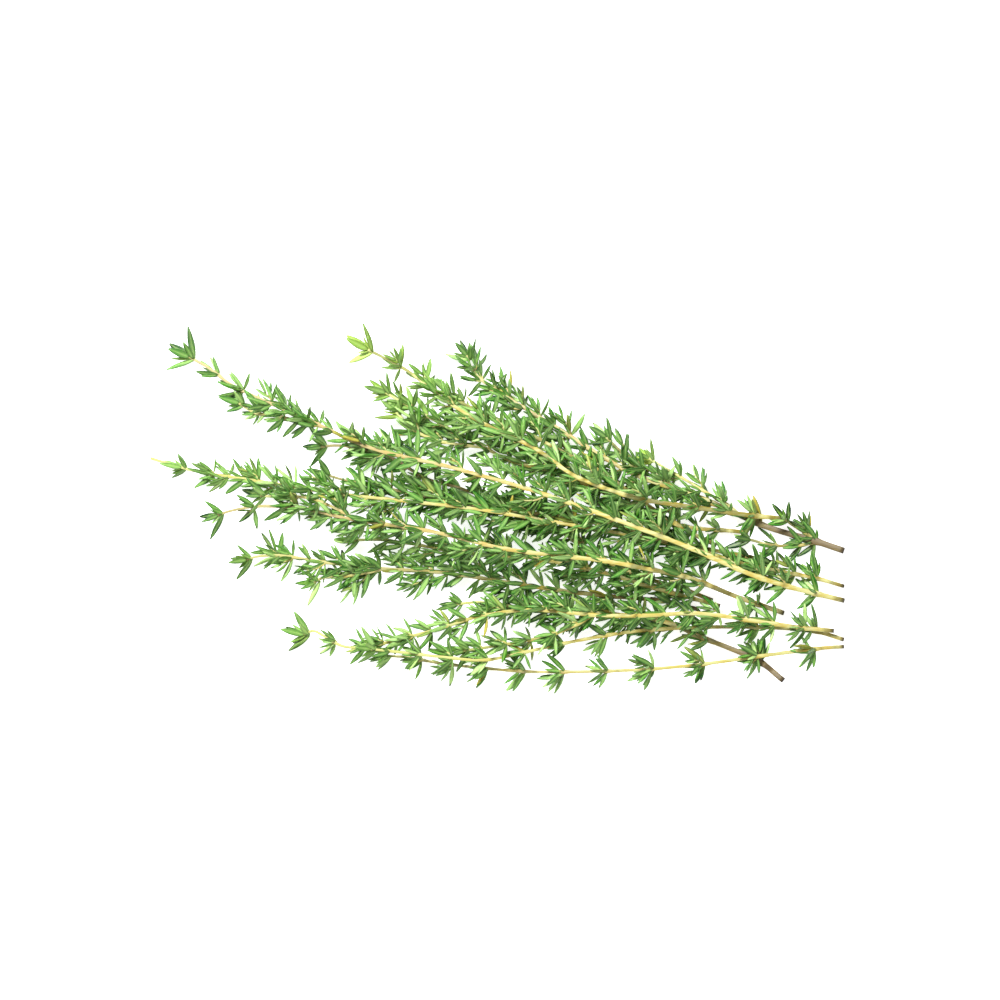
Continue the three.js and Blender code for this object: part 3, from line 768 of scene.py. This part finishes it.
def over(tree, value, start, steepness):
    """How far a value lies above a start, as a weight from 0 to 1."""
    return maths(tree, "MULTIPLY", maths(tree, "SUBTRACT", value, start), steepness, clamp=True)


def noise(tree, scale, detail=3.0, stretch=(1, 1, 1)):
    place = node(tree, "ShaderNodeTexCoord").outputs["Object"]
    mapping = node(tree, "ShaderNodeMapping")
    mapping.inputs["Scale"].default_value = stretch
    tree.links.new(place, mapping.inputs["Vector"])
    made = node(tree, "ShaderNodeTexNoise")
    made.inputs["Scale"].default_value = scale
    made.inputs["Detail"].default_value = detail
    tree.links.new(mapping.outputs["Vector"], made.inputs["Vector"])
    return made.outputs["Fac"]


def bumped(tree, shader, height, strength, distance):
    bump = node(tree, "ShaderNodeBump")
    bump.inputs["Strength"].default_value = strength
    bump.inputs["Distance"].default_value = distance
    tree.links.new(height, bump.inputs["Height"])
    tree.links.new(bump.outputs["Normal"], shader.inputs["Normal"])


HELPERS = (node, attribute, ramp, mixed, maths, over, noise, bumped)
print("helpers for materials:", ", ".join(helper.__name__ for helper in HELPERS))

# %% [markdown]
# ## Leaf green
# The tone runs over a ramp from dark to bright, the pale foot, the fresh tips and the dry leaves
# are mixed in after it, and then the stripe and the painted shade at the edges. Fixed colours for
# each kind of leaf would be simpler, but neighbours would match. The gloss is low, with a thin coat
# and a little light coming through, as in a real leaf.

# %% The leaf material
DARK_GREEN = (0.002, 0.034, 0.003)
MID_GREEN = (0.027, 0.190, 0.006)
BRIGHT_GREEN = (0.410, 0.620, 0.220)
FRESH_GREEN = (0.400, 0.520, 0.060)
BACK_GREEN = (0.160, 0.350, 0.080)
RIB_GREEN = (0.400, 0.580, 0.170)
DRY_YELLOW = (0.480, 0.350, 0.040)
CLOUDS, CLOUD_WEIGHT = 900, 0.5  # patches to a metre, and how much they shift the tone
# The last of these weights is how much painted shade darkens the rolled edges of a leaf.
BACK_WEIGHT, STRIPE_WEIGHT, EDGE_SHADE_WEIGHT = 0.5, 0.38, 0.42
FOOT_PALENESS, FOOT_FADE, STRIPE_FADE = 0.4, 0.7, 2.4
# The painted shade on a leaf's rolled edges: how far out it starts, and how steeply it rises.
EDGE_SHADE = (0.5, 2.0)  # how far out it starts, and how steeply it rises
VEINS, VEIN_SLANT, VEIN_WEIGHT = 40.0, 7.0, 0.25
LEAF_GRAIN = 5000
LEAF_RELIEF = dict(strength=0.5, distance=0.00012)
LEAF_FINISH = {
    "Roughness": 0.38,
    "Specular IOR Level": 0.18,
    "Coat Weight": 0.08,
    "Coat Roughness": 0.25,
    "Sheen Weight": 0.04,
    "Sheen Tint": (0.75, 0.95, 0.7, 1),
    "Subsurface Weight": 0.08,
    "Subsurface Radius": (0.4, 1.0, 0.1),
    "Subsurface Scale": 0.0006,
}


def leaf_material():
    material = bpy.data.materials.new("thyme_leaf")
    material.use_nodes = True
    tree = material.node_tree
    shader = tree.nodes["Principled BSDF"]
    cloud = maths(tree, "MULTIPLY", maths(tree, "SUBTRACT", noise(tree, CLOUDS), 0.5), CLOUD_WEIGHT)
    tone = maths(tree, "ADD", attribute(tree, "tone"), cloud)
    green = ramp(tree, tone, [(0.0, DARK_GREEN), (0.5, MID_GREEN), (1.0, BRIGHT_GREEN)])
    up = attribute(tree, "up")
    faded = maths(tree, "MULTIPLY", up, FOOT_FADE)
    foot = maths(tree, "SUBTRACT", FOOT_PALENESS, faded, clamp=True)
    green = mixed(tree, foot, green, RIB_GREEN)
    green = mixed(tree, attribute(tree, "fresh"), green, FRESH_GREEN)
    green = mixed(tree, attribute(tree, "dry"), green, DRY_YELLOW)
    back = maths(tree, "MULTIPLY", attribute(tree, "back"), BACK_WEIGHT)
    green = mixed(tree, back, green, BACK_GREEN)
    out = maths(tree, "ABSOLUTE", attribute(tree, "across"))
    stripe = maths(tree, "SUBTRACT", 1.0, maths(tree, "MULTIPLY", out, STRIPE_FADE), clamp=True)
    edge_shade = over(tree, out, *EDGE_SHADE)
    green = mixed(tree, maths(tree, "MULTIPLY", stripe, STRIPE_WEIGHT), green, RIB_GREEN)
    # Painted shade: the rolled edges are darkened towards dark green.
    green = mixed(tree, maths(tree, "MULTIPLY", edge_shade, EDGE_SHADE_WEIGHT), green, DARK_GREEN)
    tree.links.new(green, shader.inputs["Base Color"])
    slant = maths(tree, "MULTIPLY", out, VEIN_SLANT)
    veins = maths(tree, "SINE", maths(tree, "SUBTRACT", maths(tree, "MULTIPLY", up, VEINS), slant))
    veins = maths(tree, "MULTIPLY", veins, VEIN_WEIGHT)
    bumped(tree, shader, maths(tree, "ADD", veins, noise(tree, LEAF_GRAIN)), **LEAF_RELIEF)
    finished(shader, LEAF_FINISH)
    return material


LEAF_GREEN = leaf_material()
print("leaf material:", len(LEAF_GREEN.node_tree.nodes), "nodes")

# %% [markdown]
# ## Setting a leaf in its place
# In a pile most leaves roll some of the way to where they lie level. Each form of a leaf is made
# only once, and a matrix takes its own x, y and z to the width, length and upper face of the leaf
# that it stands for. Three turns one after another would do too, but their order is easily muddled.

# %% Placing a leaf
SETTLED = 0.5  # how far a leaf rolls towards lying level
NEARLY_UPRIGHT = 0.1  # such a leaf has no level side to roll to
TIP_LEAF_SIZES = (0.72, 1.0)  # tips are closed tighter than their solid blades
OLD_LEAVES_END = 0.55  # above this share of a stem some of its leaves are fuller


def settled(leaf):
    """The leaf's two cross directions, rolled some of the way to where its width lies level."""
    level = leaf["way"].cross(UP)
    if level.length < NEARLY_UPRIGHT:
        return leaf["across"], leaf["face"]
    level.normalize()
    if level.dot(leaf["across"]) < 0:
        level = -level
    across = leaf["across"].lerp(level, SETTLED).normalized()
    return across, across.cross(leaf["way"])


def leaf_matrix(leaf, plump, draw):
    closed = between(*TIP_LEAF_SIZES, draw.random()) if leaf["kind"] == "tip" else 1
    length = leaf["length"] * closed
    across, face = settled(leaf)
    columns = (-across * (length * plump), leaf["way"] * length, -face * length)
    matrix = Matrix(columns).transposed().to_4x4()
    matrix.translation = leaf["root"]
    return matrix


def form_of(leaf, draw):
    if leaf["kind"] in ("tip", "heart"):
        return draw.choice(FORMS["tip"])
    if leaf["kind"] == "corner" or leaf["small"]:
        return draw.choice(FORMS["small"])
    low = leaf["share"] < OLD_LEAVES_END
    return draw.choice(FORMS["old"] if low else FORMS["old"] + FORMS["full"])


print("forms to choose from:", sum(map(len, FORMS.values())))

# %% [markdown]
# ## Old and young leaves
# No two leaves of a sprig are quite the same green. Those of a fresh sprig are brighter, its tip is
# yellow-green, and here and there a leaf is turning yellow. One material for each age could show
# that, but the steps between them would show too, so every leaf draws its own values.

# %% The tone of a leaf
TONE, TONE_SPREAD = 0.42, 0.35  # from 0, darkest, to 1, brightest
TONE_BY_KIND = {"side": 0.0, "corner": 0.08, "tip": -0.05, "heart": 0.15}
TONE_BY_FRESH, TONE_BY_WOOD = 0.2, 0.1
FRESH_BY_KIND = {"side": 0.0, "corner": 0.05, "tip": 0.0, "heart": 0.15}
FRESH_RISE, FRESHEST = 6, 0.85  # how late a fresh sprig turns yellow-green, and how far
DRY_CHANCE, DRYNESS = 0.025, (0.4, 0.9)


def tone_of(leaf, sprig, draw):
    """Young leaves of fresh sprigs are bright, and those of sprigs with much old wood are dark."""
    own = TONE_BY_FRESH * sprig["fresh"] - TONE_BY_WOOD * sprig["wood"]
    return min(1.0, max(0.0, draw.gauss(TONE + TONE_BY_KIND[leaf["kind"]] + own, TONE_SPREAD)))


def freshness_of(leaf, sprig, draw):
    towards_tip = leaf["share"] ** FRESH_RISE * sprig["fresh"]
    fresh = (towards_tip + FRESH_BY_KIND[leaf["kind"]]) * between(0.5, 1.5, draw.random())
    return min(FRESHEST, fresh)


def dryness_of(leaf, draw):
    """A few of the side and corner leaves are turning yellow."""
    chance = DRY_CHANCE if leaf["kind"] in ("side", "corner") else 0
    return between(*DRYNESS, draw.random()) if draw.random() < chance else 0.0


print("yellowing leaves in a hundred:", 100 * DRY_CHANCE)

# %% [markdown]
# ## The leaves of a sprig
# One piece holds all leaves of a sprig, as leaves of its own mesh rather than linked copies,
# which would be lighter. Linked copies would be lighter, but the export drops them. Each leaf is
# made in a small bmesh of its own and added to the large one, which is much faster than to work in
# the large one throughout. No leaf goes through the table top.

# %% Dressing the sprigs with leaves
TABLE_TOP = 0.02
LEAF_PLUMPNESS = (0.86, 1.26)


@contextmanager
def appended_to(bm):
    """A small bmesh to work in, whose mesh is added to the large one afterwards."""
    one = bmesh.new()
    yield one
    scratch = bpy.data.meshes.new("scratch")
    one.to_mesh(scratch)
    one.free()
    bm.from_mesh(scratch)
    bpy.data.meshes.remove(scratch)


def piece_from(bm, name, material, node_name, slot):
    mesh = bpy.data.meshes.new(name)
    bm.to_mesh(mesh)
    bm.free()
    mesh.materials.append(material)
    piece = bpy.data.objects.new(name, mesh)
    bpy.context.collection.objects.link(piece)
    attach(piece, "root")
    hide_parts(node_name)
    return piece


def leaves_piece(owner, sprig, leaves, draw):
    bm = bmesh.new()
    for leaf in leaves:
        with appended_to(bm) as one:
            one.from_mesh(form_of(leaf, draw))
            plump = between(*LEAF_PLUMPNESS, draw.random())
            bmesh.ops.transform(one, matrix=leaf_matrix(leaf, plump, draw), verts=one.verts)
            values = dict(tone=tone_of(leaf, sprig, draw), fresh=freshness_of(leaf, sprig, draw),
                          dry=dryness_of(leaf, draw))
            for key, value in values.items():
                layer = one.verts.layers.float[key]
                for v in one.verts:
                    v[layer] = value
            for v in one.verts:
                v.co.z = max(v.co.z, TABLE_TOP)
    for face in bm.faces:
        face.smooth = True
    bmesh.ops.scale(bm, vec=(MM, MM, MM), verts=bm.verts)
    number, slot = f"{owner + 1:02d}", sprig.get("slot", "leaf")
    return piece_from(bm, f"leaves_{number}", LEAF_GREEN, f"sprig_{number}", slot)


leaf_draw = Random(7)
leaf_pieces = [leaves_piece(i, s, LEAVES[i], leaf_draw) for i, s in enumerate(SPRIGS)]
print("leaf faces:", sum(len(p.data.polygons) for p in leaf_pieces))

# %% [markdown]
# ## The bark
# Young thyme stems are straw yellow with amber spots, pink to purple where the sun reached them,
# and old ones turn grey-brown with fine cracks along their length. The cut face dries dark. The
# side of a stem that faces the table is darkened to amber, as painted shade. The stem carries
# values for all this, and the material blends its tints by them over a noise that is stretched
# along the bundle, because nearly all stems run that way.

# %% Bark
STRAW = (0.41, 0.33, 0.062)
STRAW_LIGHT = (0.47, 0.46, 0.185)
AMBER_AND_SHADE = (0.37, 0.26, 0.030)
BLUSH = (0.34, 0.19, 0.14)
OLD_WOOD = (0.125, 0.088, 0.036)
YOUNG_STEM = (0.42, 0.47, 0.16)
DRY_CUT = (0.035, 0.024, 0.016)
STEM_FLOATS = ("wood", "blush", "green", "cut", "under")
STREAKS = dict(scale=1200, detail=4.0, stretch=(0.12, 1, 1))
PATCHES = dict(scale=120, detail=2.0)
SPOTS = dict(scale=260, detail=2.0)
# The second pair sets the painted shade on the side of a stem that faces the table: where it
# starts, and how steeply it rises.
SPOTTED, UNDERSIDE_SHADE = (0.55, 4.0), (0.2, 2.0)  # where amber starts, and how steeply it rises
BARK_RELIEF = dict(strength=0.5, distance=0.0002)
BARK_FINISH = {"Roughness": 0.5, "Specular IOR Level": 0.3}


def broken_up(tree, name, pattern, shift):
    """A value of the stem, made uneven by a noise."""
    uneven = maths(tree, "ADD", pattern, shift)
    return maths(tree, "MULTIPLY", attribute(tree, name), uneven, clamp=True)


def bark_material():
    material = bpy.data.materials.new("thyme_bark")
    material.use_nodes = True
    tree = material.node_tree
    shader = tree.nodes["Principled BSDF"]
    streaks = noise(tree, **STREAKS)
    bark = ramp(tree, streaks, [(0.38, STRAW), (0.6, STRAW_LIGHT)])
    spots = over(tree, noise(tree, **SPOTS), *SPOTTED)
    shade_below = over(tree, attribute(tree, "under"), *UNDERSIDE_SHADE)
    # Amber for the real spots, and as painted shade on the side that faces the table.
    bark = mixed(tree, maths(tree, "MAXIMUM", spots, shade_below), bark, AMBER_AND_SHADE)
    bark = mixed(tree, attribute(tree, "green"), bark, YOUNG_STEM)
    bark = mixed(tree, broken_up(tree, "blush", noise(tree, **PATCHES), 0.4), bark, BLUSH)
    bark = mixed(tree, broken_up(tree, "wood", streaks, 0.5), bark, OLD_WOOD)
    bark = mixed(tree, attribute(tree, "cut"), bark, DRY_CUT)
    tree.links.new(bark, shader.inputs["Base Color"])
    bumped(tree, shader, streaks, **BARK_RELIEF)
    finished(shader, BARK_FINISH)
    return material


BARK = bark_material()
print("bark material:", len(BARK.node_tree.nodes), "nodes")

# %% [markdown]
# ## Rings along a stem
# A stem is drawn out ring by ring along its smooth route, so each ring needs a place and three
# directions. A curve object has them too, but it may twist on its way, and here one flat side of
# every ring has to face the table.

# %% Rings
RING_STEP = 1.3


def rings_along(axis):
    """Place and directions at even steps along the smooth route, with the way run so far."""
    pieces = max(FEWEST_FACETS, int(axis.length / RING_STEP))
    places = [Vector(p) for p in evenly_on_curve(axis.route, pieces)]
    for i, at in enumerate(places):
        along = (places[min(i + 1, pieces)] - places[max(i - 1, 0)]).normalized()
        side = along.cross(UP).normalized()
        yield i / pieces, at, Matrix((side, side.cross(along), -along)).transposed()


def ring_matrix(at, turned, radius):
    matrix = (turned @ Matrix.Diagonal((radius, radius, 1))).to_4x4()
    matrix.translation = at
    return matrix


def nodes_of(axis, leaves):
    return sorted({round(leaf["share"] * axis.length, 2) for leaf in leaves
                   if leaf["axis"] is axis and leaf["kind"] == "side"})


print("rings on the first stem:", len(list(rings_along(AXES[0][0]))))

# %% [markdown]
# ## What the bark carries
# Old wood reaches up from the foot, further on a woody sprig, the blush grows towards the tip, the
# young end is green, and the cut end dries dark. Separate materials would meet in hard lines, so
# every ring carries all of this as values, which fade into each other.

# %% Values for the bark
WOOD_REACH, WOOD_FADE = (0.08, 0.25), 1.6  # of a green and of a woody sprig, as shares of the stem
CUT_REACH = 1.2
BLUSH_START, BLUSH_WEIGHT, TWIG_BLUSH = 0.4, 0.8, 0.5
YOUNG_START, YOUNG_GREEN, TWIG_GREEN, GREENEST = 0.6, 0.75, 0.2, 0.8


def bark_values(axis, sprig, share, is_twig):
    """Wood, blush, green and cut at one place of a stem. What faces down is worked out later."""
    if is_twig:
        wood, cut, blush = 0.0, 0.0, TWIG_BLUSH
    else:
        reach = between(*WOOD_REACH, sprig["wood"])
        wood = sprig["wood"] * min(1.0, max(0.0, WOOD_FADE - share / reach))
        cut = exp(-((share * axis.length / CUT_REACH) ** 2))
        blush = min(1.0, max(0.0, share - BLUSH_START) * 3)
    green = YOUNG_GREEN * max(0.0, share - YOUNG_START) / (1 - YOUNG_START)
    green += TWIG_GREEN if is_twig else 0.0
    return wood, BLUSH_WEIGHT * sprig["blush"] * blush, min(green, GREENEST), cut


foot = bark_values(AXES[0][0], SPRIGS[0], 0, False)
print("foot of the first stem:", dict(zip(STEM_FLOATS, [round(v, 2) for v in foot])))

# %% [markdown]
# ## The stems
# A thyme stem is square with rounded corners, a little swollen at every pair of leaves, and it
# tapers to the tip. A curve with a bevel could be its tube, but it would be round. So the cut end
# is made first, a square face with bevelled corners, and that face is extruded step by step
# along the route, scaled a little each time.

# %% Stems
ACROSS_FLATS = 0.87  # of the radius of the solid, which is taken across its corners
CORNER = 0.3
SWELLING = 0.28
SWELLING_REACH = 0.9


def cut_face(bm):
    """A square face with rounded corners, in a bmesh that was empty."""
    square = bmesh.ops.create_grid(bm, x_segments=1, y_segments=1, size=ACROSS_FLATS)["verts"]
    bmesh.ops.bevel(bm, geom=square, offset=CORNER, segments=2, profile=0.5, affect="VERTICES",
                    material=-1)
    return max(bm.faces, key=lambda f: len(f.verts))


def grow_stem(bm, axis, sprig, swellings, is_twig):
    layers = {key: bm.verts.layers.float.new(key) for key in STEM_FLOATS}
    face = cut_face(bm)
    before = Matrix.Identity(4)
    for share, at, turned in rings_along(axis):
        run = share * axis.length
        swell = max([exp(-(((run - s) / SWELLING_REACH) ** 2)) for s in swellings] or [0])
        now = ring_matrix(at, turned, axis.radius_at(share) * (1 + SWELLING * swell))
        if share > 0:
            made = bmesh.ops.extrude_face_region(bm, geom=[face])["geom"]
            face = next(g for g in made if isinstance(g, bmesh.types.BMFace))
        bmesh.ops.transform(bm, matrix=now @ before.inverted(), verts=face.verts)
        before = now
        for v in face.verts:
            for key, value in zip(STEM_FLOATS, bark_values(axis, sprig, share, is_twig)):
                v[layers[key]] = value
    bmesh.ops.recalc_face_normals(bm, faces=bm.faces)
    bm.normal_update()
    for v in bm.verts:
        # How far each face turns down to the table, for the painted shade on the bark.
        v[layers["under"]] = 0.5 - 0.5 * v.normal.z


def stem_piece(owner, sprig, axes, leaves):
    bm = bmesh.new()
    for axis in [*axes, *SHOOTS[owner]]:
        with appended_to(bm) as one:
            grow_stem(one, axis, sprig, nodes_of(axis, leaves), axis is not axes[0])
    for v in bm.verts:
        v.co.z = max(v.co.z, 0)
    for face in bm.faces:
        face.smooth = len(face.verts) == 4
    bmesh.ops.recalc_face_normals(bm, faces=bm.faces)
    bmesh.ops.scale(bm, vec=(MM, MM, MM), verts=bm.verts)
    number = f"{owner + 1:02d}"
    return piece_from(bm, f"stem_{number}", BARK, f"sprig_{number}", "stem")


stem_pieces = [stem_piece(i, s, AXES[i], LEAVES[i]) for i, s in enumerate(SPRIGS)]
print("stem faces:", sum(len(p.data.polygons) for p in stem_pieces))
